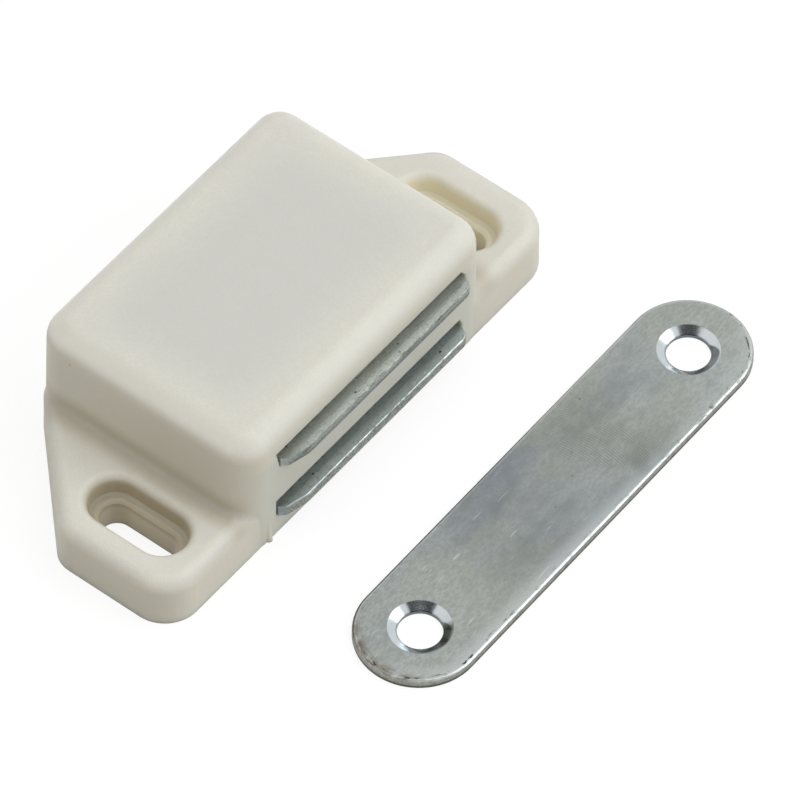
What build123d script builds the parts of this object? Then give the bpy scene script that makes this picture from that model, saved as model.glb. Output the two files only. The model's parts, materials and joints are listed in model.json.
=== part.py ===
from build123d import *
import os

os.makedirs("parts", exist_ok=True)

# The catch lies on its mounting face at z = 0. Its long axis is X, the pole plates
# look towards -Y, and the origin is the middle of the body's footprint.

# ---- Magnet pack: two steel pole plates with a magnet between them ----
pole_thickness = 1.2
magnet_thickness = 6.1
lower_pole_z = 2.45
magnet_z = lower_pole_z + pole_thickness
upper_pole_z = magnet_z + magnet_thickness
pole_back_width = 31.0
pole_back_corner = 0.8
pole_shoulder = 1.35  # what keeps a pole plate from passing through its opening
pole_neck_width = pole_back_width - 2 * pole_shoulder
pole_reach = 1.2  # how far a pole plate stands out of the front face
pole_cut = 0.55  # the bevelled corner at the left of each pole face
pole_cut_depth = 0.6
pole_bow_run = 2.4  # the curve between that bevel and the straight pole face
pole_bow_radius = 3.0
pole_right_radius = 1.2
pole_edge_rounding = 0.15  # left by the punch, on the side that faces the magnet
lower_pole_shift = 0.3
upper_pole_shift = 0.62
magnet_inset = 0.6  # behind the edges of the pole plates, all round
magnet_edge = 0.3

# ---- Housing, outside ----
front_wall = 2.0
side_wall = 2.0
rear_wall = 2.0
roof = 2.0
pack_side_clearance = 1.2
body_length = pole_back_width + 2 * (pack_side_clearance + side_wall)
body_depth = 26.5
body_height = 15.5
draft_angle = 1.0
top_rounding = 2.5
front_corner_radius = 3.0
left_rear_corner_radius = 3.3
right_rear_corner_radius = 2.8
front_y = -body_depth / 2
rear_y = body_depth / 2

# ---- Ears ----
ear_reach = 11.3
ear_height = 5.7
ear_setback = 0.05  # the ears' front edges lie a hair behind the front face
left_ear_end_width = 13.85
left_ear_root_inset = 1.6  # from the rear face to where the slant meets the end wall
right_ear_end_width = 14.44
right_ear_root_inset = 1.3
ear_rear_inset = 0.1  # keeps the ear's rear edge inside the body's rear face
ear_buried_x = body_length / 4
left_ear_front_radius = 3.85
right_ear_front_radius = 4.6
ear_tip_radius = 3.0
ear_root_radius = 3.2
ear_top_rounding = 1.5
ear_crease_radius = 0.8  # between an ear's top and the body's end wall
length = body_length + 2 * ear_reach

# ---- Screw slots through the ears ----
left_slot_offset = 5.3  # from the body's end wall to the middle of the slot
right_slot_offset = 4.85
screw_slot_from_front = 8.85
screw_slot_travel = 5.4  # between the centres of the slot's two ends
screw_slot_width = 3.3
head_pocket_floor = 3.35
head_pocket_width = 4.95
head_pocket_travel = 5.7
head_pocket_flare = 8.0
head_seat_bevel = 0.3
head_pocket_lip = 0.9
left_slot_x = -body_length / 2 - left_slot_offset
right_slot_x = body_length / 2 + right_slot_offset
screw_slot_y = front_y + screw_slot_from_front

# ---- Openings for the pole plates; each is a little skewed, as it came from the mould ----
slot_height = 2.5
lower_slot_left_clearance = 0.35
lower_slot_right_clearance = 0.15
lower_slot_right_lean = 0.4
upper_slot_drop = 0.05  # below the upper pole plate
upper_slot_left_clearance = 0.12
upper_slot_left_lean = 0.55
upper_slot_right_clearance = 0.15
upper_slot_right_lean = 0.72
slot_headroom = 0.2  # above a pole plate, before the ends of its opening start to lean

# ---- What holds the pack ----
cavity_corner_radius = 0.4
pack_float = 0.6  # how far the pack can be pushed back
stop_rib_depth = 2.9
stop_rib_spacing = 18.0
stop_rib_width = 1.6
hook_width = 9.0
hook_height = 1.4
hook_reach = 1.4  # under the lower pole plate
hook_nose = 0.4
pole_back_depth = body_depth - front_wall - rear_wall - pack_float - stop_rib_depth

# ---- Flash left at the foot of the left front corner ----
flash_inset = 3.5  # from the body's left end wall
flash_radius = 0.36
flash_tip_radius = 0.05
flash_height = 3.9

# ---- Strike plate, lying in front of the catch ----
strike_offset_x = 6.32
strike_gap = 17.8  # from the front face to the strike plate's centre line
strike_turn = 0.47
strike_length = 55.5
strike_width = 12.6
strike_thickness = 0.9
strike_hole_spacing = 42.6
strike_hole_shift = 0.12
strike_hole_radius = 2.22
strike_sink_radius = 3.18
strike_sink_angle = 120.0
strike_edge_rounding = 0.3

pack_front_y = front_y + front_wall
pack_rear_y = pack_front_y + pole_back_depth
cavity_rear_y = rear_y - rear_wall
cavity_length = body_length - 2 * side_wall
ear_tip_x = length / 2
neck = pole_neck_width / 2
lower_slot_left_x = lower_pole_shift - neck - lower_slot_left_clearance
lower_slot_right_x = lower_pole_shift + neck + lower_slot_right_clearance
upper_slot_z = upper_pole_z - upper_slot_drop
upper_slot_left_x = upper_pole_shift - neck - upper_slot_left_clearance
upper_slot_right_x = upper_pole_shift + neck + upper_slot_right_clearance
ear_front_y = front_y + ear_setback
ear_rear_y = rear_y - ear_rear_inset
pick_tolerance = 0.01  # how near a height an edge has to lie to be picked by it


# ---- Left ear ----
left_tip_y = front_y + left_ear_end_width
left_slant_rise = body_depth - left_ear_end_width - left_ear_root_inset
left_root_x = ear_tip_x - (ear_rear_y - left_tip_y) * ear_reach / left_slant_rise
with BuildPart() as left_ear:
    with BuildSketch():
        with BuildLine():
            Polyline(
                (-ear_buried_x, ear_front_y),
                (-ear_buried_x, ear_rear_y),
                (-left_root_x, ear_rear_y),
                (-ear_tip_x, left_tip_y),
                (-ear_tip_x, ear_front_y),
                close=True,
            )
        make_face()
        fillet(vertices().sort_by_distance((-ear_tip_x, ear_front_y))[0], left_ear_front_radius)
        fillet(vertices().sort_by_distance((-ear_tip_x, left_tip_y))[0], ear_tip_radius)
        fillet(vertices().sort_by_distance((-left_root_x, ear_rear_y))[0], ear_root_radius)
    extrude(amount=ear_height, taper=draft_angle)
    fillet(left_ear.faces().sort_by(Axis.Z)[-1].edges(), ear_top_rounding)

# ---- Right ear ----
right_tip_y = front_y + right_ear_end_width
right_slant_rise = body_depth - right_ear_end_width - right_ear_root_inset
right_root_x = ear_tip_x - (ear_rear_y - right_tip_y) * ear_reach / right_slant_rise
with BuildPart() as right_ear:
    with BuildSketch():
        with BuildLine():
            Polyline(
                (ear_buried_x, ear_front_y),
                (ear_tip_x, ear_front_y),
                (ear_tip_x, right_tip_y),
                (right_root_x, ear_rear_y),
                (ear_buried_x, ear_rear_y),
                close=True,
            )
        make_face()
        fillet(vertices().sort_by_distance((ear_tip_x, ear_front_y))[0], right_ear_front_radius)
        fillet(vertices().sort_by_distance((ear_tip_x, right_tip_y))[0], ear_tip_radius)
        fillet(vertices().sort_by_distance((right_root_x, ear_rear_y))[0], ear_root_radius)
    extrude(amount=ear_height, taper=draft_angle)
    fillet(right_ear.faces().sort_by(Axis.Z)[-1].edges(), ear_top_rounding)

# ---- Housing ----
front_plane = Plane(origin=(0, front_y, 0), x_dir=(1, 0, 0), z_dir=(0, -1, 0))
with BuildPart() as housing:
    with BuildSketch():
        with Locations((0, -rear_wall / 2)):
            Rectangle(body_length, body_depth + rear_wall)
    extrude(amount=body_height, taper=draft_angle)
    split(bisect_by=front_plane, keep=Keep.BOTTOM)
    front_uprights = housing.faces().sort_by(Axis.Y)[0].edges().filter_by(Axis.X, reverse=True)
    fillet(front_uprights, front_corner_radius)
    rear_uprights = housing.faces().sort_by(Axis.Y)[-1].edges().filter_by(Axis.X, reverse=True)
    fillet(rear_uprights.sort_by(Axis.X)[0], left_rear_corner_radius)
    fillet(rear_uprights.sort_by(Axis.X)[-1], right_rear_corner_radius)
    fillet(housing.faces().sort_by(Axis.Z)[-1].edges(), top_rounding)
    add(left_ear.part)
    add(right_ear.part)
    ear_creases = (
        housing.edges()
        .filter_by_position(Axis.Z, ear_height - pick_tolerance, ear_height + pick_tolerance)
        .filter_by_position(Axis.X, -body_length / 2, body_length / 2)
    )
    fillet(ear_creases, ear_crease_radius)

    # Hollow under the roof, open at the mounting face.
    with BuildSketch():
        with Locations((0, (pack_front_y + cavity_rear_y) / 2)):
            RectangleRounded(
                cavity_length, cavity_rear_y - pack_front_y, cavity_corner_radius
            )
    extrude(amount=body_height - roof, mode=Mode.SUBTRACT)

    # Ribs that stop the pack when it is pushed back.
    with BuildSketch(Plane.XY.offset(lower_pole_z)):
        with Locations((0, cavity_rear_y - stop_rib_depth / 2)):
            with GridLocations(stop_rib_spacing, 0, 2, 1):
                Rectangle(stop_rib_width, stop_rib_depth)
    extrude(amount=body_height - roof - lower_pole_z)

    # Snap hook under the rear edge of the lower pole plate.
    hook_tip_y = pack_rear_y - hook_reach
    with BuildSketch(Plane.YZ):
        with BuildLine():
            Polyline(
                (cavity_rear_y, lower_pole_z),
                (hook_tip_y, lower_pole_z),
                (hook_tip_y, lower_pole_z - hook_nose),
                (cavity_rear_y, lower_pole_z - hook_height),
                close=True,
            )
        make_face()
    extrude(amount=hook_width / 2, both=True)

    # Openings for the pole plates, wide enough for the necks to slide through.
    with BuildSketch(front_plane):
        with BuildLine():
            Polyline(
                (lower_slot_left_x, lower_pole_z),
                (lower_slot_right_x, lower_pole_z),
                (lower_slot_right_x, lower_pole_z + pole_thickness + slot_headroom),
                (lower_slot_right_x - lower_slot_right_lean, lower_pole_z + slot_height),
                (lower_slot_left_x, lower_pole_z + slot_height),
                close=True,
            )
        make_face()
        with BuildLine():
            Polyline(
                (upper_slot_left_x, upper_slot_z),
                (upper_slot_right_x, upper_slot_z),
                (upper_slot_right_x, upper_pole_z + pole_thickness + slot_headroom),
                (upper_slot_right_x - upper_slot_right_lean, upper_slot_z + slot_height),
                (upper_slot_left_x - upper_slot_left_lean, upper_slot_z + slot_height),
                close=True,
            )
        make_face()
    extrude(amount=-front_wall, mode=Mode.SUBTRACT)

    # Screw slots: a through slot, and a wider pocket for the screw's head.
    with BuildSketch():
        with Locations((left_slot_x, screw_slot_y), (right_slot_x, screw_slot_y)):
            SlotCenterToCenter(screw_slot_travel, screw_slot_width, rotation=90)
    extrude(amount=ear_height, mode=Mode.SUBTRACT)
    with BuildSketch(Plane.XY.offset(head_pocket_floor)):
        with Locations((left_slot_x, screw_slot_y), (right_slot_x, screw_slot_y)):
            SlotCenterToCenter(head_pocket_travel, head_pocket_width, rotation=90)
    extrude(
        amount=ear_height - head_pocket_floor,
        taper=-head_pocket_flare,
        mode=Mode.SUBTRACT,
    )
    for slot_x in (left_slot_x, right_slot_x):
        by_the_slot = (
            housing.edges()
            .filter_by_position(Axis.X, slot_x - head_pocket_width, slot_x + head_pocket_width)
            .filter_by_position(Axis.Y, screw_slot_y - screw_slot_travel, screw_slot_y + screw_slot_travel)
        )
        seat = by_the_slot.filter_by_position(
            Axis.Z, head_pocket_floor - pick_tolerance, head_pocket_floor + pick_tolerance
        )
        rim = by_the_slot.filter_by_position(
            Axis.Z, ear_height - pick_tolerance, ear_height + pick_tolerance
        )
        chamfer(seat, head_seat_bevel)
        fillet(rim, head_pocket_lip)

    # Flash at the foot of the left front corner.
    with Locations((-body_length / 2 + flash_inset, front_y + flash_tip_radius, 0)):
        Cone(
            flash_radius,
            flash_tip_radius,
            flash_height,
            align=(Align.CENTER, Align.CENTER, Align.MIN),
        )

# ---- Pole plate outline, centred on its neck ----
with BuildSketch() as pole_outline:
    back = pole_back_width / 2
    tip_y = front_y - pole_reach
    with BuildLine():
        Line((-back, pack_rear_y), (-back, pack_front_y))
        Line((-back, pack_front_y), (-neck, pack_front_y))
        Line((-neck, pack_front_y), (-neck, front_y))
        Line((-neck, front_y), (-neck + pole_cut, front_y - pole_cut_depth))
        Line((-neck + pole_cut, front_y - pole_cut_depth), (-neck + pole_cut + pole_bow_run, tip_y))
        Line((-neck + pole_cut + pole_bow_run, tip_y), (neck, tip_y))
        Line((neck, tip_y), (neck, pack_front_y))
        Line((neck, pack_front_y), (back, pack_front_y))
        Line((back, pack_front_y), (back, pack_rear_y))
        Line((back, pack_rear_y), (-back, pack_rear_y))
    make_face()
    fillet(vertices().sort_by_distance((neck, tip_y))[0], pole_right_radius)
    fillet(vertices().sort_by_distance((-neck + pole_cut + pole_bow_run, tip_y))[0], pole_bow_radius)
    fillet(vertices().group_by(Axis.Y)[-1], pole_back_corner)

# ---- Lower pole plate ----
with BuildPart() as lower_pole_plate:
    with BuildSketch(Plane.XY.offset(lower_pole_z)):
        with Locations((lower_pole_shift, 0)):
            add(pole_outline.sketch)
    extrude(amount=pole_thickness)
    magnet_side = lower_pole_plate.faces().sort_by(Axis.Z)[-1]
    fillet(magnet_side.edges().filter_by(lambda e: e.center().Y < front_y), pole_edge_rounding)

# ---- Upper pole plate ----
with BuildPart() as upper_pole_plate:
    with BuildSketch(Plane.XY.offset(upper_pole_z)):
        with Locations((upper_pole_shift, 0)):
            add(pole_outline.sketch)
    extrude(amount=pole_thickness)
    magnet_side = upper_pole_plate.faces().sort_by(Axis.Z)[0]
    fillet(magnet_side.edges().filter_by(lambda e: e.center().Y < front_y), pole_edge_rounding)

# ---- Magnet ----
with BuildPart() as magnet:
    with BuildSketch(Plane.XY.offset(magnet_z)):
        with Locations((0, (pack_front_y + pack_rear_y) / 2)):
            Rectangle(pole_back_width - 2 * magnet_inset, pole_back_depth - 2 * magnet_inset)
    extrude(amount=magnet_thickness)
    chamfer(magnet.edges().filter_by(Axis.Z), magnet_edge)

# ---- Strike plate ----
strike_seat = Location((strike_offset_x, front_y - strike_gap, 0), (0, 0, strike_turn))
strike_face = strike_seat * Location((strike_hole_shift, 0, strike_thickness))
with BuildPart() as strike_plate:
    with BuildSketch():
        with Locations(strike_seat):
            SlotOverall(strike_length, strike_width)
    extrude(amount=strike_thickness)
    fillet(strike_plate.faces().sort_by(Axis.Z)[-1].edges(), strike_edge_rounding)
    with Locations(strike_face):
        with GridLocations(strike_hole_spacing, 0, 2, 1):
            CounterSinkHole(
                radius=strike_hole_radius,
                counter_sink_radius=strike_sink_radius,
                depth=strike_thickness,
                counter_sink_angle=strike_sink_angle,
            )

# ---- One file for each piece ----
housing.part.label = "housing"
export_step(housing.part, "parts/housing.step")
lower_pole_plate.part.label = "lower_pole_plate"
export_step(lower_pole_plate.part, "parts/lower_pole_plate.step")
upper_pole_plate.part.label = "upper_pole_plate"
export_step(upper_pole_plate.part, "parts/upper_pole_plate.step")
magnet.part.label = "magnet"
export_step(magnet.part, "parts/magnet.step")
strike_plate.part.label = "strike_plate"
export_step(strike_plate.part, "parts/strike_plate.step")
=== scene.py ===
import json
import math

import bmesh
import bpy
from mathutils import Matrix, Vector


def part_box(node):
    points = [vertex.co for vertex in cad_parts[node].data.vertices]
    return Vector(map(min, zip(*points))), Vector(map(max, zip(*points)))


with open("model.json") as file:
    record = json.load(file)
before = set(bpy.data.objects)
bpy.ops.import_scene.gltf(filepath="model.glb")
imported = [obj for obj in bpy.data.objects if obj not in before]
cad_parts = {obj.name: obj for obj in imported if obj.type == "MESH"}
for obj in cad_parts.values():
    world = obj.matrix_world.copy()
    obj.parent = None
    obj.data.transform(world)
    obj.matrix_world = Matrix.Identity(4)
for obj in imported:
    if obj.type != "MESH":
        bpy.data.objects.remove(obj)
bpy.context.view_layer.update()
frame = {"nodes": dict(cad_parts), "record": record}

MM = 0.001
nodes = frame["nodes"]
mounts = {mount["name"]: mount for mount in frame["record"]["mounts"]}


def corners(node):
    """The lowest and the highest corner of a CAD node's box, in millimetres."""
    return [Vector(corner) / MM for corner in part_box(node)]


def mount_place(name):
    """Where one of the record's mounts lies, in millimetres."""
    return Vector(mounts[name]["pos_m"]) / MM


# ---- Camera, seen from the catch's left front and well above ----
CAMERA_TARGET = Vector((5.912, -12.485, 0.0)) * MM
CAMERA_DISTANCE = 852.58 * MM
CAMERA_AZIMUTH = math.radians(-52.80)
CAMERA_ELEVATION = math.radians(51.87)
CAMERA_ROLL = math.radians(1.246)
CAMERA_LENS = 397.67
CAMERA_NEAR = 0.05
CAMERA_FAR = 20.0


def make_camera():
    across = Vector((math.cos(CAMERA_AZIMUTH), math.sin(CAMERA_AZIMUTH), 0))
    back = Vector((
        math.sin(CAMERA_AZIMUTH) * math.cos(CAMERA_ELEVATION),
        -math.cos(CAMERA_AZIMUTH) * math.cos(CAMERA_ELEVATION),
        math.sin(CAMERA_ELEVATION),
    ))
    up = back.cross(across)
    right = across * math.cos(CAMERA_ROLL) + up * math.sin(CAMERA_ROLL)
    top = up * math.cos(CAMERA_ROLL) - across * math.sin(CAMERA_ROLL)
    place = Matrix((right, top, back)).transposed().to_4x4()
    place.translation = CAMERA_TARGET + back * CAMERA_DISTANCE
    data = bpy.data.cameras.new("camera")
    data.lens = CAMERA_LENS
    data.clip_start = CAMERA_NEAR
    data.clip_end = CAMERA_FAR
    camera = bpy.data.objects.new("camera", data)
    camera.matrix_world = place
    bpy.context.scene.collection.objects.link(camera)
    bpy.context.scene.camera = camera


# ---- Small helpers for the node materials ----
class Shader:
    """The nodes of one material or world, with short calls for those that a finish is made of."""

    def __init__(self, owner):
        owner.use_nodes = True
        self.owner = owner
        self.tree = owner.node_tree
        self.tree.nodes.clear()

    def node(self, kind, **settings):
        made = self.tree.nodes.new("ShaderNode" + kind)
        for key, value in settings.items():
            setattr(made, key, value)
        return made

    def feed(self, socket, value):
        if isinstance(value, bpy.types.NodeSocket):
            self.tree.links.new(value, socket)
        else:
            socket.default_value = value

    def math(self, operation, *values, clamp=False):
        made = self.node("Math", operation=operation, use_clamp=clamp)
        for socket, value in zip(made.inputs, values):
            self.feed(socket, value)
        return made.outputs[0]

    def product(self, *values):
        made = values[0]
        for value in values[1:]:
            made = self.math("MULTIPLY", made, value)
        return made

    def hypot(self, a, b):
        """The length of the long side over two sides at a right angle."""
        return self.math("SQRT", self.math("ADD", self.math("POWER", a, 2.0), self.math("POWER", b, 2.0)))

    def past(self, value, limit):
        """How far a distance from the middle, to either side, goes past a limit."""
        return self.math("MAXIMUM", self.math("SUBTRACT", self.math("ABSOLUTE", value), limit), 0.0)

    def ramp(self, value, low, high, at_low=0.0, at_high=1.0):
        """Passes smoothly from one number to another as the value goes from low to high."""
        made = self.node("MapRange", interpolation_type="SMOOTHSTEP")
        self.feed(made.inputs["Value"], value)
        made.inputs["From Min"].default_value = low
        made.inputs["From Max"].default_value = high
        made.inputs["To Min"].default_value = at_low
        made.inputs["To Max"].default_value = at_high
        return made.outputs[0]

    def band(self, value, middle, half_width):
        """1 in the middle of a band, 0 from its half width outwards."""
        from_middle = self.math("ABSOLUTE", self.math("SUBTRACT", value, middle))
        return self.ramp(from_middle, 0.0, half_width, 1.0, 0.0)

    def millimetres(self, centre=(0, 0, 0), turn=0.0):
        """Object coordinates in millimetres, from a centre and turned about Z."""
        coords = self.node("TexCoord")
        mapping = self.node("Mapping", vector_type="TEXTURE")
        self.feed(mapping.inputs["Vector"], coords.outputs["Object"])
        mapping.inputs["Location"].default_value = Vector(centre) * MM
        mapping.inputs["Rotation"].default_value = (0, 0, turn)
        mapping.inputs["Scale"].default_value = (MM, MM, MM)
        return mapping.outputs[0]

    def stretch(self, where, scale, turn=0.0):
        """Coordinates that are turned about Z and scaled: a scale below 1 draws a pattern out."""
        mapping = self.node("Mapping")
        self.feed(mapping.inputs["Vector"], where)
        mapping.inputs["Rotation"].default_value = (0, 0, turn)
        mapping.inputs["Scale"].default_value = scale
        return mapping.outputs[0]

    def split(self, where):
        made = self.node("SeparateXYZ")
        self.feed(made.inputs[0], where)
        return made.outputs[0], made.outputs[1], made.outputs[2]

    def facing(self, axis):
        """How far the surface looks along X, Y or Z, from -1 to 1."""
        geometry = self.node("NewGeometry")
        return self.split(geometry.outputs["Normal"])["XYZ".index(axis)]

    def noise(self, where, scale, detail=2.0, roughness=0.5, seed=0.0):
        made = self.node("TexNoise", noise_dimensions="4D")
        self.feed(made.inputs["Vector"], where)
        made.inputs["W"].default_value = seed
        made.inputs["Scale"].default_value = scale
        made.inputs["Detail"].default_value = detail
        made.inputs["Roughness"].default_value = roughness
        return made.outputs["Fac"]

    def specks(self, where, spacing, radius, share):
        """1 in small round spots, one to a cell of the given size, in a share of the cells."""
        cells = self.node("TexVoronoi", feature="F1")
        self.feed(cells.inputs["Vector"], where)
        cells.inputs["Scale"].default_value = 1.0 / spacing
        near = self.ramp(cells.outputs["Distance"], 0.6 * radius / spacing, radius / spacing, 1.0, 0.0)
        pick = self.split(cells.outputs["Color"])[0]
        return self.product(near, self.math("LESS_THAN", pick, share))

    def mix(self, amount, a, b):
        made = self.node("Mix", data_type="RGBA")
        self.feed(made.inputs[0], amount)
        self.feed(made.inputs[6], a)
        self.feed(made.inputs[7], b)
        return made.outputs[2]

    def bump(self, height, distance, strength):
        made = self.node("Bump")
        self.feed(made.inputs["Height"], height)
        made.inputs["Distance"].default_value = distance
        made.inputs["Strength"].default_value = strength
        return made.outputs[0]

    def principled(self, **inputs):
        made = self.node("BsdfPrincipled")
        for key, value in inputs.items():
            self.feed(made.inputs[key.replace("_", " ")], value)
        self.put_out("OutputMaterial", made.outputs[0])

    def put_out(self, kind, surface):
        out = self.node(kind)
        self.feed(out.inputs["Surface"], surface)


def new_finish(name):
    return Shader(bpy.data.materials.new(name))


def srgb(r, g, b):
    """A colour given as it shows on a screen, 0 to 255, as the linear one that shaders take."""
    def linear(shown):
        shown /= 255
        return shown / 12.92 if shown <= 0.04045 else ((shown + 0.055) / 1.055) ** 2.4
    return (linear(r), linear(g), linear(b), 1.0)


# ---- Housing: translucent moulded plastic ----
HOUSING_HIGH = corners("housing")[1]
WALL = 2.0
TOP_ROUNDING = 2.5
EAR_REACH = 11.3
EAR_HEIGHT = 5.7
SEAT_HEIGHT = 3.35  # of the ledge in an ear's pocket that takes the screw head
POCKET_HALF_TRAVEL = 2.85
POCKET_HALF_WIDTH = 2.6
POCKET_FLARE = 1.1
POCKET_SHADING_TOP = (EAR_HEIGHT - 1.2, EAR_HEIGHT + 0.1)  # the heights between which the pockets' painted shading fades out
SLOT_SHADING_TOP = (SEAT_HEIGHT - 1.1, SEAT_HEIGHT - 0.3)
BODY_HALF_LENGTH = HOUSING_HIGH.x - EAR_REACH
HOLLOW_HALF_LENGTH = BODY_HALF_LENGTH - WALL
HOLLOW_HALF_DEPTH = HOUSING_HIGH.y - WALL
ROOF_BLEND = 6.0  # over which the grey of the roof fades out towards the walls
ROOF_EDGE = 0.5  # below the top, where that grey is full
ROUNDING_BLEND = 1.5
FRONT_TINT_FROM = 15.0  # from the middle, where the front's painted grey shade starts to fade
FRONT_TINT_TO = 18.5
FRONT_TINT_RISE = 0.8  # above the upper pole plate
# painted shade in the creases where the ears' tops meet the end walls
CREASE_OFFSET = (0.4, 0.3)  # out from the end wall and up from the ear's top
CREASE_REACH = (2.2, 2.6)
CREASE_SHADE_STRENGTH = 0.55

IVORY = srgb(221, 219, 209)
IVORY_CLOUD = srgb(217, 215, 206)
ROOF_GREY = srgb(208, 207, 202)
FINE_SHADE = srgb(205, 202, 190)
GRAIN_SHADE = srgb(200, 196, 184)
# painted shading and highlight: creamier walls, a pale roof rounding, a grey front by the poles, tan creases
WALL_SHADE_CREAM = srgb(224, 218, 200)
ROUNDING_HIGHLIGHT = srgb(234, 232, 222)
FRONT_SHADE_GREY = srgb(203, 204, 194)
CREASE_SHADE_TAN = srgb(176, 165, 142)
DIRT = srgb(120, 112, 96)


def over_hollow(s, x, y, z):
    """1 on the roof where it lies over the hollow, 0 by the walls and below."""
    return s.product(
        s.ramp(s.math("ABSOLUTE", x), HOLLOW_HALF_LENGTH - ROOF_BLEND, HOLLOW_HALF_LENGTH, 1.0, 0.0),
        s.ramp(s.math("ABSOLUTE", y), HOLLOW_HALF_DEPTH - ROOF_BLEND, HOLLOW_HALF_DEPTH, 1.0, 0.0),
        s.ramp(z, HOUSING_HIGH.z - WALL, HOUSING_HIGH.z - ROOF_EDGE),
    )


def rounding_highlight_mask(s, z):
    """1 where a highlight is painted on the rounding round the roof, fainter where it looks to the front."""
    rounding_foot = HOUSING_HIGH.z - TOP_ROUNDING
    return s.product(
        s.band(s.facing("Z"), 0.6, 0.42),
        s.ramp(s.facing("Y"), -0.5, 0.0, 0.3, 1.0),
        s.ramp(z, rounding_foot - ROUNDING_BLEND, rounding_foot),
    )


def front_shade_by_poles(s, x, z):
    """Where painted shade lies: half strength on the front face round the pole plates, 0 above them and by
    the corners.
    """
    pole_top = corners("upper_pole_plate")[1].z
    return s.product(
        s.ramp(s.facing("Y"), -0.95, -0.7, 1.0, 0.0),
        s.ramp(s.math("ABSOLUTE", x), FRONT_TINT_FROM, FRONT_TINT_TO, 0.5, 0.0),
        s.ramp(z, pole_top, pole_top + FRONT_TINT_RISE, 1.0, 0.0),
    )


def crease_shade(s, x, z):
    """Painted shade, strongest in the creases where the ears' tops meet the end walls."""
    return s.product(
        s.band(s.math("ABSOLUTE", x), BODY_HALF_LENGTH + CREASE_OFFSET[0], CREASE_REACH[0]),
        s.band(z, EAR_HEIGHT + CREASE_OFFSET[1], CREASE_REACH[1]),
        CREASE_SHADE_STRENGTH,
    )


def paint_ear_slot_shading(s, colour, at, mount, pocket, seat, slot):
    """Paints shading into an ear's pocket wall, the seat at its foot and the screw slot below, but not the
    underside: darker colours paint shade, paler ones light.
    """
    x, y, z = at
    middle = mount_place(mount)
    beyond = s.past(s.math("SUBTRACT", y, middle.y), POCKET_HALF_TRAVEL)
    from_slot = s.hypot(s.math("SUBTRACT", x, middle.x), beyond)
    by_slot = s.ramp(from_slot, POCKET_HALF_WIDTH, POCKET_HALF_WIDTH + POCKET_FLARE, 1.0, 0.0)
    not_under = s.ramp(s.facing("Z"), -0.9, -0.5)
    level = s.ramp(s.facing("Z"), 0.5, 0.9)
    within = s.product(by_slot, not_under)
    in_pocket = s.product(within, s.ramp(z, *POCKET_SHADING_TOP, 0.9, 0.0))
    on_seat = s.product(in_pocket, level)
    in_slot = s.product(within, s.ramp(z, *SLOT_SHADING_TOP, 0.9, 0.0))
    colour = s.mix(in_pocket, colour, pocket)
    colour = s.mix(on_seat, colour, seat)
    return s.mix(in_slot, colour, slot)


def housing_plastic():
    """Ivory that is greyer over the hollow, with painted shading: greyer on the front by the poles, creamier
    on the walls, tan in the creases, darker in the left ear's pocket and paler in the right's; and a painted
    highlight on the roof's rounding.
    """
    s = new_finish("housing_plastic")
    where = s.millimetres()
    x, y, z = s.split(where)
    broad = s.noise(where, 0.10, detail=3, seed=1.3)
    fine = s.noise(where, 1.6, detail=4, seed=4.1)
    grain = s.noise(where, 7.0, detail=2, seed=7.7)

    colour = s.mix(s.ramp(broad, 0.35, 0.65), IVORY, IVORY_CLOUD)
    colour = s.mix(over_hollow(s, x, y, z), colour, ROOF_GREY)
    colour = s.mix(s.ramp(fine, 0.3, 0.7, 0.0, 0.15), colour, FINE_SHADE)
    colour = s.mix(s.ramp(grain, 0.35, 0.65, 0.0, 0.3), colour, GRAIN_SHADE)
    # painted shading: faces that look less upwards are painted creamier, the warmth of the plastic in shade
    colour = s.mix(s.ramp(s.facing("Z"), 0.1, 0.7, 0.7, 0.0), colour, WALL_SHADE_CREAM)
    # painted highlight on the rounding round the roof
    colour = s.mix(rounding_highlight_mask(s, z), colour, ROUNDING_HIGHLIGHT)
    # painted shade on the front face round the pole plates
    colour = s.mix(front_shade_by_poles(s, x, z), colour, FRONT_SHADE_GREY)
    # painted shade in the creases
    colour = s.mix(crease_shade(s, x, z), colour, CREASE_SHADE_TAN)
    # painted shade: the left ear lies in the body's shadow, so its pocket and seat are painted darker
    colour = paint_ear_slot_shading(
        s, colour, (x, y, z), "left_screw_slot",
        pocket=srgb(181, 169, 144), seat=srgb(178, 171, 152), slot=srgb(220, 213, 192))
    # painted light: the right ear lies in the light, so its pocket is painted paler
    colour = paint_ear_slot_shading(
        s, colour, (x, y, z), "right_screw_slot",
        pocket=srgb(233, 226, 201), seat=srgb(226, 221, 201), slot=srgb(226, 219, 192))
    dirt = s.specks(where, spacing=5.0, radius=0.16, share=0.35)
    colour = s.mix(s.product(dirt, 0.35), colour, DIRT)

    rough = s.ramp(fine, 0.2, 0.8, 0.36, 0.48)
    normal = s.bump(s.math("ADD", fine, s.product(grain, 0.35)), distance=0.04 * MM, strength=0.5)
    s.principled(Base_Color=colour, Roughness=rough, Normal=normal, IOR=1.47,
                 Subsurface_Weight=0.8, Subsurface_Scale=MM, Subsurface_Radius=(1.5, 1.4, 1.2))
    return s.owner


# ---- Pole plates: punched steel, plated, with small dark spots of rust ----
POLE_BACK_BLEND = (0.3, 1.8)  # behind the cut face, where painted light sets in against the opening's shade
POLE_LEFT_END = -17.0
POLE_BACK_FULL_FROM = -4.0  # right of here that painted light has its full strength
POLE_BAND_FULL_FROM = -6.0  # and right of here the front band's painted light has its own
POLE_BAND_BLEND = 0.25
POLE_CHIP_DEPTH = (0.08, 0.2)  # behind the cut face
POLE_CHIP_HEIGHT = (0.35, 0.2)  # below the plate's top
RUST_SPOT = srgb(52, 50, 46)
# chips along the front edge; the bright ones are also a painted glint
CHIP_GLINT = srgb(222, 227, 223)
CHIP_DARK = srgb(84, 88, 84)


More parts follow.
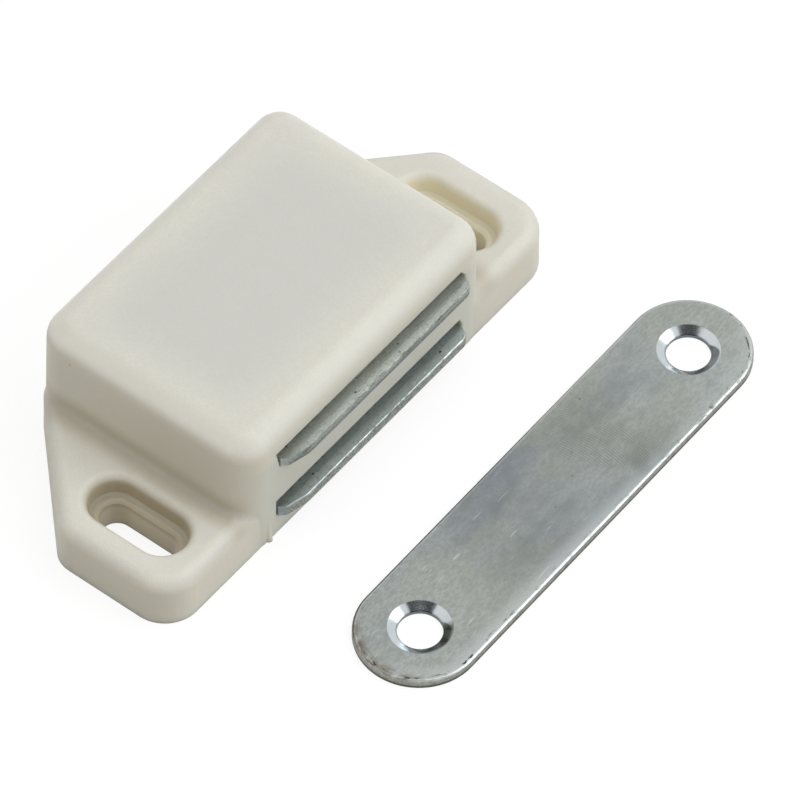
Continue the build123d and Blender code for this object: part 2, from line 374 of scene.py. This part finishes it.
def pole_steel(node, torn_share, tint, burnished, front, front_depth, torn_tone):
    """The cut face is burnished above and torn below; painted light makes the plate lighter along its front
    edge and behind the cut face, against the opening's shade.
    """
    s = new_finish(node + "_steel")
    where = s.millimetres()
    x, y, z = s.split(where)
    low, high = corners(node)

    def tinted(*shown):
        return srgb(*(share * level for share, level in zip(tint, shown)))

    def torn_shade(*shown):
        return srgb(*(torn_tone * level for level in shown))

    streaks = s.noise(s.stretch(where, (0.2, 1.4, 1.0)), 1.3, detail=3, seed=2.0)
    cloud = s.noise(where, 0.5, detail=3, seed=5.0)
    grain = s.noise(where, 5.0, detail=3, seed=8.0)
    mottle = s.noise(where, 3.2, detail=5, roughness=0.7, seed=9.0)

    # the flat of the plate
    colour = s.mix(s.ramp(cloud, 0.35, 0.65), tinted(184, 191, 186), tinted(166, 174, 170))
    colour = s.mix(s.ramp(streaks, 0.45, 0.75, 0.0, 0.35), colour, tinted(150, 156, 152))
    colour = s.mix(s.ramp(grain, 0.42, 0.72, 0.0, 0.4), colour, tinted(136, 142, 137))
    # painted light behind the cut face, against the opening's shade
    behind_face_light = s.product(s.ramp(y, low.y + POLE_BACK_BLEND[0], low.y + POLE_BACK_BLEND[1], 0.0, 0.5),
                            s.ramp(x, POLE_LEFT_END, POLE_BACK_FULL_FROM))
    colour = s.mix(behind_face_light, colour, tinted(218, 225, 219))
    # painted light: a lighter band along the front edge, outside the opening
    wavy = s.math("MULTIPLY_ADD", s.math("SUBTRACT", streaks, 0.5), 0.5, y)
    band_end = low.y + front_depth
    front_light_band = s.product(s.ramp(wavy, band_end, band_end + POLE_BAND_BLEND, 0.6, 0.0),
                           s.ramp(x, POLE_LEFT_END, POLE_BAND_FULL_FROM, 0.3, 1.0),
                           s.ramp(s.facing("Z"), 0.5, 0.9))
    colour = s.mix(front_light_band, colour, srgb(*front))
    colour = s.mix(s.ramp(mottle, 0.36, 0.48, 0.4, 0.0), colour, tinted(104, 109, 105))
    colour = s.mix(s.ramp(mottle, 0.54, 0.66, 0.0, 0.35), colour, tinted(222, 228, 223))

    # the cut face
    at_face = s.ramp(s.facing("Y"), -0.9, -0.6, 1.0, 0.0)
    ragged = s.math("MULTIPLY_ADD", s.math("SUBTRACT", grain, 0.5), 0.5, z)
    torn_top = low.z + torn_share * (high.z - low.z)
    torn = s.math("MAXIMUM", s.product(at_face, s.ramp(ragged, torn_top - 0.10, torn_top + 0.05, 1.0, 0.0)),
                  s.product(at_face, s.ramp(streaks, 0.5, 0.58)))
    colour = s.mix(s.product(at_face, 0.8), colour, srgb(*burnished))
    torn_colour = s.mix(s.ramp(grain, 0.4, 0.65), torn_shade(148, 152, 146), torn_shade(104, 107, 101))
    colour = s.mix(torn, colour, torn_colour)

    # chips along the front edge, the bright ones also a painted glint, and rust
    edge = s.product(s.ramp(y, low.y + POLE_CHIP_DEPTH[0], low.y + POLE_CHIP_DEPTH[1], 1.0, 0.0),
                     s.ramp(z, high.z - POLE_CHIP_HEIGHT[0], high.z - POLE_CHIP_HEIGHT[1]))
    chips = s.noise(s.stretch(where, (0.6, 1.0, 1.0)), 2.2, detail=3, roughness=0.7, seed=12.0)
    colour = s.mix(s.product(edge, s.ramp(chips, 0.54, 0.60, 0.0, 0.6)), colour, CHIP_GLINT)
    colour = s.mix(s.product(edge, s.ramp(chips, 0.40, 0.45, 0.7, 0.0)), colour, CHIP_DARK)
    spots = s.specks(s.stretch(where, (0.8, 1.0, 1.0)), spacing=1.4, radius=0.16, share=0.45)
    colour = s.mix(s.product(spots, 0.85), colour, RUST_SPOT)

    rough = s.math("MULTIPLY_ADD", torn, 0.3, s.ramp(streaks, 0.3, 0.7, 0.24, 0.36))
    normal = s.bump(s.math("ADD", streaks, grain), distance=0.01 * MM, strength=0.3)
    s.principled(Base_Color=colour, Roughness=rough, Normal=normal, Metallic=0.62)
    return s.owner


# ---- Magnet: sintered ferrite ----
FERRITE_PIT = srgb(52, 52, 54)
FERRITE_FACE = srgb(74, 73, 72)


def ferrite():
    s = new_finish("ferrite")
    pits = s.noise(s.millimetres(), 3.0, detail=4, seed=3.0)
    colour = s.mix(s.ramp(pits, 0.35, 0.7), FERRITE_PIT, FERRITE_FACE)
    rough = s.ramp(pits, 0.3, 0.7, 0.55, 0.75)
    normal = s.bump(pits, distance=0.05 * MM, strength=0.5)
    s.principled(Base_Color=colour, Roughness=rough, Normal=normal)
    return s.owner


# ---- Strike plate: rolled strip, punched out, with polished countersinks ----
STRIKE_TURN = math.radians(0.47)
STRIKE_HALF_LENGTH = 27.75
STRIKE_HALF_WIDTH = 6.3
STRIKE_THICKNESS = corners("strike_plate")[1].z
STRIKE_HOLES = mounts["strike_screw_holes"]["dims"]
STRIKE_HOLE_REACH = STRIKE_HOLES["pcd_mm"] / 2
STRIKE_HOLE_RADIUS = STRIKE_HOLES["hole_r_mm"]
STRIKE_HOLE_SHIFT = 0.12  # of the holes, towards the right end
STRIKE_SINK_RADIUS = 3.18
STRIKE_SINK_BLEND = 0.08
CRESCENT_WAY = (-0.084, -0.996)  # along and across, towards the side of each countersink where a dark reflection is painted
CRESCENT_WIDTH = (0.20, 0.92)  # at its horns and at its middle
CRESCENT_EDGE = 0.25
SINK_ROUGHNESS = 0.15
RIM_SQUEEZE = 3.5  # keeps the chips in the rim narrower than they are long
RIPPLE_PITCH = 0.28
RIPPLE_BOW = 0.03
RIPPLE_WANDER = 5.0
SCRATCH_LIE = math.radians(24)

ZINC_LIGHT = srgb(162, 168, 166)
ZINC_DARK = srgb(118, 125, 127)
ZINC_OLIVE = srgb(152, 153, 138)
ZINC_VIOLET = srgb(136, 139, 151)
ZINC_BLOTCH = srgb(172, 178, 175)
# painted reflection: darker about the middle, lighter at the ends
MIDDLE_DARK_REFLECTION = srgb(126, 132, 135)
END_LIGHT_REFLECTION = srgb(176, 182, 179)
ZINC_GRAIN = srgb(120, 125, 122)
# painted highlight along the front edge
FRONT_EDGE_HIGHLIGHT = srgb(196, 202, 200)
# painted highlight round the rim
RIM_HIGHLIGHT = srgb(204, 210, 207)
RIPPLE_SHADE = srgb(108, 114, 114)
SCRATCH_BRIGHT = srgb(205, 210, 208)
STRIKE_SPOT = srgb(62, 58, 50)
# painted dark reflection along the rear edge
REAR_EDGE_DARK_REFLECTION = srgb(44, 40, 34)
STRIKE_RUST = srgb(110, 98, 82)
DASH_DARK = srgb(54, 52, 46)
CUT_BURNISHED = srgb(158, 160, 154)
CUT_TORN = srgb(96, 94, 86)
CUT_GRAIN = srgb(116, 114, 106)
SINK_BRIGHT = srgb(202, 209, 212)
SINK_DULL = srgb(178, 186, 188)
# painted dark reflection in the countersinks
CRESCENT_DARK_REFLECTION = srgb(90, 96, 96)


class StrikeSurface:
    """What the strike plate's finish is painted by: its own distances in millimetres, and its grain."""

    def __init__(self, s):
        low, high = corners("strike_plate")
        middle = (low + high) / 2
        self.where = s.millimetres((middle.x, middle.y, 0.0), STRIKE_TURN)
        self.along, self.across, self.up = s.split(self.where)
        self.from_middle = s.math("ABSOLUTE", self.along)
        self.flat = s.ramp(s.math("ABSOLUTE", s.facing("Z")), 0.5, 0.8)

        # how far in from the outline a point lies, and how far round it
        past_straight = s.past(self.along, STRIKE_HALF_LENGTH - STRIKE_HALF_WIDTH)
        self.inside = s.math("SUBTRACT", STRIKE_HALF_WIDTH, s.hypot(past_straight, self.across))
        straight = s.math("SUBTRACT", self.along, s.product(s.math("SIGN", self.along), past_straight))
        round_rim = s.math("MULTIPLY_ADD", s.math("ARCTAN2", self.across, past_straight),
                           STRIKE_HALF_WIDTH, straight)
        rim = s.node("CombineXYZ")
        s.feed(rim.inputs[0], round_rim)
        s.feed(rim.inputs[1], s.product(self.inside, RIM_SQUEEZE))
        self.chipped = s.noise(rim.outputs[0], 0.8, detail=4, roughness=0.65, seed=41.0)

        # from the nearer hole
        shifted = s.math("SUBTRACT", self.along, STRIKE_HOLE_SHIFT)
        self.hole_along = s.math("SUBTRACT", shifted, s.product(s.math("SIGN", shifted), STRIKE_HOLE_REACH))
        self.from_hole = s.hypot(self.hole_along, self.across)
        self.in_sink = s.product(
            s.ramp(self.from_hole, STRIKE_SINK_RADIUS - STRIKE_SINK_BLEND, STRIKE_SINK_RADIUS, 1.0, 0.0),
            s.ramp(s.facing("Z"), -0.5, 0.0))

        # the rolled strip's own pattern, drawn out along it
        self.drawn = s.stretch(self.where, (0.45, 1.0, 1.0))
        self.cloud = s.noise(self.drawn, 0.22, detail=4, roughness=0.55, seed=6.0)
        self.blotch = s.noise(s.stretch(self.where, (0.6, 1.0, 1.0)), 0.9, detail=4, seed=8.0)
        self.grain = s.noise(s.stretch(self.where, (0.5, 1.0, 1.0)), 4.0, detail=3, seed=3.0)


def rolled_skin(s, at):
    """Clouds in cool and warm greys; painted reflection makes it darker about the middle and lighter at the
    ends, and painted highlights run along the front edge and the rim.
    """
    olive = s.noise(at.drawn, 0.13, detail=2, seed=14.0)
    violet = s.noise(at.drawn, 0.15, detail=2, seed=17.0)
    about_middle = s.band(at.along, -3.0, 14.0)
    towards_ends = s.ramp(at.from_middle, 4.0, 20.0)
    colour = s.mix(s.ramp(at.cloud, 0.38, 0.62), ZINC_LIGHT, ZINC_DARK)
    colour = s.mix(s.ramp(olive, 0.42, 0.60, 0.0, 0.7), colour, ZINC_OLIVE)
    colour = s.mix(s.ramp(violet, 0.48, 0.64, 0.0, 0.6), colour, ZINC_VIOLET)
    colour = s.mix(s.ramp(at.blotch, 0.4, 0.7, 0.0, 0.35), colour, ZINC_BLOTCH)
    # painted reflection: darker about the middle, lighter towards the ends
    colour = s.mix(s.product(about_middle, 0.4), colour, MIDDLE_DARK_REFLECTION)
    colour = s.mix(s.product(towards_ends, 0.5), colour, END_LIGHT_REFLECTION)
    colour = s.mix(s.ramp(at.grain, 0.35, 0.65, 0.0, 0.42), colour, ZINC_GRAIN)

    # painted highlight along the front edge, stronger to the left
    by_outline = s.ramp(at.inside, 0.2, 2.2, 1.0, 0.0)
    front_half = s.ramp(at.across, -3.0, 0.0, 1.0, 0.0)
    more_to_left = s.ramp(at.along, -2.0, 12.0, 0.55, 0.25)
    colour = s.mix(s.product(by_outline, front_half, more_to_left), colour, FRONT_EDGE_HIGHLIGHT)
    # painted highlight round the rim
    highlit_rim = s.ramp(at.inside, 0.15, 0.5, 0.5, 0.0)
    return s.mix(s.product(highlit_rim, at.flat), colour, RIM_HIGHLIGHT)


def roll_ripples(s, at):
    """The fine ripples across the strip, left by the rolls, and how strongly each place has them."""
    wander = s.product(s.noise(at.where, 0.35, detail=2, seed=11.0), RIPPLE_WANDER)
    bowed = s.math("MULTIPLY_ADD", s.math("POWER", at.across, 2.0), RIPPLE_BOW, at.along)
    ripple = s.math("SINE", s.math("MULTIPLY_ADD", bowed, 2 * math.pi / RIPPLE_PITCH, wander))
    right_of_middle = s.band(at.along, 7.0, 8.0)
    off_rim = s.ramp(at.inside, 0.5, 1.5)
    patchy = s.ramp(s.noise(at.where, 0.4, detail=2, seed=21.0), 0.35, 0.5)
    return ripple, s.product(right_of_middle, off_rim, at.flat, patchy)


def add_scratches(s, at, colour):
    scratch = s.noise(s.stretch(at.where, (0.30, 4.0, 1.0), SCRATCH_LIE), 0.9, detail=1, seed=31.0)
    thin = s.ramp(scratch, 0.70, 0.73)
    mostly_left = s.ramp(at.along, -4.0, 0.0, 1.0, 0.15)
    return s.mix(s.product(thin, mostly_left, at.flat, 0.45), colour, SCRATCH_BRIGHT)


def add_spots(s, at, colour):
    spots = s.specks(at.where, spacing=2.0, radius=0.17, share=0.18)
    more_by_rim = s.ramp(at.inside, 0.6, 2.6, 1.0, 0.4)
    return s.mix(s.product(spots, more_by_rim, 0.7), colour, STRIKE_SPOT)


def paint_rear_edge_reflection(s, at, colour):
    # painted dark reflection on the thin rim of the rear edge, stronger to the left
    rear_side = s.ramp(at.across, 2.0, 5.0)
    thin_rim = s.ramp(at.inside, 0.08, 0.26, 1.0, 0.0)
    more_to_left = s.ramp(at.along, -2.0, 10.0, 0.95, 0.45)
    return s.mix(s.product(rear_side, thin_rim, more_to_left), colour, REAR_EDGE_DARK_REFLECTION)


def add_rust(s, at, colour):
    """Brown patches on the rim of the left end."""
    wide_rim = s.ramp(at.inside, 0.3, 1.5, 1.0, 0.0)
    patchy = s.ramp(at.chipped, 0.36, 0.56)
    left_end = s.ramp(at.along, -26.5, -22.5, 0.75, 0.0)
    more_to_rear = s.ramp(at.across, -5.5, -1.0, 0.4, 1.0)
    return s.mix(s.product(wide_rim, patchy, left_end, more_to_rear), colour, STRIKE_RUST)


def add_dashes(s, at, colour):
    """Short dark dashes along the rim, where the plating has chipped."""
    along_rim = s.band(at.inside, 0.4, 0.4)
    broken = s.ramp(at.chipped, 0.56, 0.61)
    more_to_ends = s.ramp(at.from_middle, 10.0, 21.0, 0.25, 0.9)
    less_to_rear = s.ramp(at.across, 1.0, 4.5, 1.0, 0.3)
    return s.mix(s.product(along_rim, broken, more_to_ends, less_to_rear, at.flat), colour, DASH_DARK)


def cut_side(s, at):
    """The punched side: burnished above, torn below."""
    torn = s.ramp(at.up, 0.30 * STRIKE_THICKNESS, 0.45 * STRIKE_THICKNESS, 1.0, 0.0)
    colour = s.mix(torn, CUT_BURNISHED, CUT_TORN)
    return s.mix(s.ramp(at.grain, 0.4, 0.65, 0.0, 0.5), colour, CUT_GRAIN)


def turned_countersink(s, at):
    """Bright, with a painted dark reflection: a crescent that is widest on the plate's front side."""
    forward = s.math("ADD", s.product(at.hole_along, CRESCENT_WAY[0]), s.product(at.across, CRESCENT_WAY[1]))
    radial = s.math("DIVIDE", forward, at.from_hole)
    reach = s.math("ADD", STRIKE_HOLE_RADIUS, s.ramp(radial, 0.30, 0.80, *CRESCENT_WIDTH))
    crescent = s.ramp(s.math("SUBTRACT", at.from_hole, reach), -CRESCENT_EDGE, 0.0, 1.0, 0.0)
    colour = s.mix(s.ramp(at.blotch, 0.4, 0.7, 0.0, 0.4), SINK_BRIGHT, SINK_DULL)
    return s.mix(s.product(crescent, s.ramp(at.blotch, 0.3, 0.7, 1.0, 0.8)), colour, CRESCENT_DARK_REFLECTION)


def strike_steel():
    s = new_finish("strike_steel")
    at = StrikeSurface(s)
    ripple, ripple_strength = roll_ripples(s, at)
    colour = rolled_skin(s, at)
    colour = s.mix(s.product(ripple_strength, s.ramp(ripple, -1.0, 1.0, 0.0, 0.5)), colour, RIPPLE_SHADE)
    # wear, and a painted dark reflection on the rear edge
    for wear_and_reflection in (add_scratches, add_spots, paint_rear_edge_reflection, add_rust, add_dashes):
        colour = wear_and_reflection(s, at, colour)
    colour = s.mix(at.flat, cut_side(s, at), colour)
    colour = s.mix(at.in_sink, colour, turned_countersink(s, at))

    dull_rim = s.product(s.ramp(at.inside, 0.2, 0.5, 1.0, 0.0), s.ramp(at.chipped, 0.5, 0.64, 0.0, 0.3))
    plate_rough = s.math("ADD", s.ramp(at.grain, 0.3, 0.7, 0.26, 0.38), dull_rim)
    rough = s.math("ADD", s.product(plate_rough, s.math("SUBTRACT", 1.0, at.in_sink)),
                   s.product(at.in_sink, SINK_ROUGHNESS))
    height = s.math("ADD", s.product(at.grain, 0.6), s.product(ripple, ripple_strength, 0.3))
    height = s.math("ADD", height, s.product(at.cloud, 1.5))
    normal = s.bump(height, distance=0.01 * MM, strength=0.3)
    s.principled(Base_Color=colour, Roughness=rough, Normal=normal, Metallic=1.0)
    return s.owner


def paint(node, material):
    """Puts one finish on every material slot of a CAD node."""
    for slot in nodes[node].material_slots:
        slot.material = material


# ---- Floor, lamps and surroundings, in metres ----
FLOOR_SIZE = (6.0, 6.0)
FLOOR_DROP = 0.02 * MM  # keeps the floor clear of the undersides
FLOOR_GREY = (0.55, 0.54, 0.52, 1)
FLOOR_GREY_SEEN = (0.17, 0.17, 0.17, 1)  # the glow makes up the rest, and shadows stay faint
FLOOR_GREY_MIRRORED = (0.70, 0.70, 0.70, 1)
FLOOR_GLOW = 0.85
FLOOR_GLOW_MIRRORED = 0.20
FELT_BLACK = (0.01, 0.01, 0.01, 1)
WORLD_LIGHT = 0.23
WORLD_TINT = (1.0, 0.985, 0.94, 1)
WHITE = (1, 1, 1, 1)
COOL = (0.97, 1.0, 1.04)
CATCH_MIDDLE = Vector((0, -0.01, 0))
CARD_PLACE = (-0.178, -0.135, 0.557)
CARD_WAY = (0.6046, -0.7965, 0)
CARD_SIZE = (0.6, 0.12)


def background_rays(s):
    """1 for rays that show the background itself, straight or in metal; 0 for rays that carry light."""
    path = s.node("LightPath")
    straight = s.math("ADD", path.outputs["Is Camera Ray"], path.outputs["Is Glossy Ray"], clamp=True)
    return s.math("ADD", straight, path.outputs["Is Transmission Ray"], clamp=True)


def stage_sheet(name, size, place, material):
    mesh = bpy.data.meshes.new(name)
    bm = bmesh.new()
    bmesh.ops.create_grid(bm, x_segments=1, y_segments=1, size=0.5)
    bmesh.ops.scale(bm, vec=(size[0], size[1], 1.0), verts=bm.verts)
    bmesh.ops.transform(bm, matrix=place, verts=bm.verts)
    bm.to_mesh(mesh)
    bm.free()
    mesh.materials.append(material)
    sheet = bpy.data.objects.new(name, mesh)
    bpy.context.scene.collection.objects.link(sheet)
    return sheet


def floor_paper():
    """Paper that glows only to rays that show the background: it looks pale but doesn't light the catch."""
    s = new_finish("floor_paper")
    shows = background_rays(s)
    mirrored = s.node("LightPath").outputs["Is Glossy Ray"]
    diffuse = s.node("BsdfDiffuse")
    grey = s.mix(shows, FLOOR_GREY, FLOOR_GREY_SEEN)
    s.feed(diffuse.inputs["Color"], s.mix(mirrored, grey, FLOOR_GREY_MIRRORED))
    glow = s.node("Emission")
    dimmed = s.math("MULTIPLY_ADD", mirrored, FLOOR_GLOW_MIRRORED - FLOOR_GLOW, FLOOR_GLOW)
    s.feed(glow.inputs["Strength"], s.product(shows, dimmed))
    together = s.node("AddShader")
    s.feed(together.inputs[0], diffuse.outputs[0])
    s.feed(together.inputs[1], glow.outputs[0])
    s.put_out("OutputMaterial", together.outputs[0])
    return s.owner


def black_felt():
    s = new_finish("black_felt")
    s.principled(Base_Color=FELT_BLACK, Roughness=0.9)
    return s.owner


def make_world():
    """Dim light from all round, and a white background where it shows."""
    s = Shader(bpy.data.worlds.new("studio"))
    shows = background_rays(s)
    sky = s.node("Background")
    s.feed(sky.inputs["Strength"], s.math("MULTIPLY_ADD", shows, 1.0 - WORLD_LIGHT, WORLD_LIGHT))
    s.feed(sky.inputs["Color"], s.mix(shows, WORLD_TINT, WHITE))
    s.put_out("OutputWorld", sky.outputs[0])
    bpy.context.scene.world = s.owner


def looking_at_catch(place, along):
    """A turned place whose third axis looks back from the catch and whose first lies along the given way."""
    back = (Vector(place) - CATCH_MIDDLE).normalized()
    side = (Vector(along) - back * back.dot(Vector(along))).normalized()
    turn = Matrix((side, back.cross(side), back)).transposed().to_4x4()
    turn.translation = Vector(place)
    return turn


def add_softbox(name, place, size, watts, along=(1, 0, 0), colour=(1, 1, 1), in_gloss=False):
    data = bpy.data.lights.new(name, "AREA")
    data.shape = "RECTANGLE"
    data.size, data.size_y = size
    data.energy = watts
    data.color = colour
    lamp = bpy.data.objects.new(name, data)
    lamp.matrix_world = looking_at_catch(place, along)
    lamp.visible_glossy = in_gloss
    bpy.context.scene.collection.objects.link(lamp)


def add_softboxes():
    """One long strip that shows in the metal, and five lamps that don't."""
    add_softbox("right_strip", place=(0.375, -0.34, 0.555), size=(0.9, 0.35), watts=2.1,
                along=(0, -0.874, -0.49), colour=COOL, in_gloss=True)
    add_softbox("overhead_softbox", place=(0.0, 0.0, 0.90), size=(0.6, 0.6), watts=2.4)
    add_softbox("front_low_softbox", place=(0.10, -0.85, 0.30), size=(0.5, 0.5), watts=1.4, colour=COOL)
    add_softbox("front_high_softbox", place=(0.0, -0.60, 0.70), size=(0.5, 0.5), watts=0.9, colour=COOL)
    add_softbox("left_rear_softbox", place=(-0.50, 0.42, 0.60), size=(0.5, 0.5), watts=1.5)
    add_softbox("right_rear_softbox", place=(0.60, 0.40, 0.55), size=(0.5, 0.5), watts=0.6)


def add_black_card():
    """Darkens what the polished countersinks mirror from above the catch's left end."""
    card = stage_sheet("black_card", CARD_SIZE, looking_at_catch(CARD_PLACE, CARD_WAY), black_felt())
    card.visible_camera = False
    card.visible_diffuse = False
    card.visible_transmission = False
    card.visible_shadow = False


make_camera()
paint("housing", housing_plastic())
# front: the colour of the painted light band along each plate's front edge
paint("upper_pole_plate", pole_steel(
    "upper_pole_plate", torn_share=0.5, tint=(0.95, 0.95, 0.94), burnished=(142, 149, 143),
    front=(198, 205, 200), front_depth=0.7, torn_tone=1.0))
paint("lower_pole_plate", pole_steel(
    "lower_pole_plate", torn_share=0.93, tint=(0.85, 0.88, 0.90), burnished=(172, 178, 174),
    front=(190, 199, 198), front_depth=0.95, torn_tone=1.12))
paint("magnet", ferrite())
paint("strike_plate", strike_steel())
stage_sheet("floor", FLOOR_SIZE, Matrix.Translation((0, 0, -FLOOR_DROP)), floor_paper())
make_world()
add_softboxes()
add_black_card()

bpy.context.scene.view_settings.view_transform = "Standard"
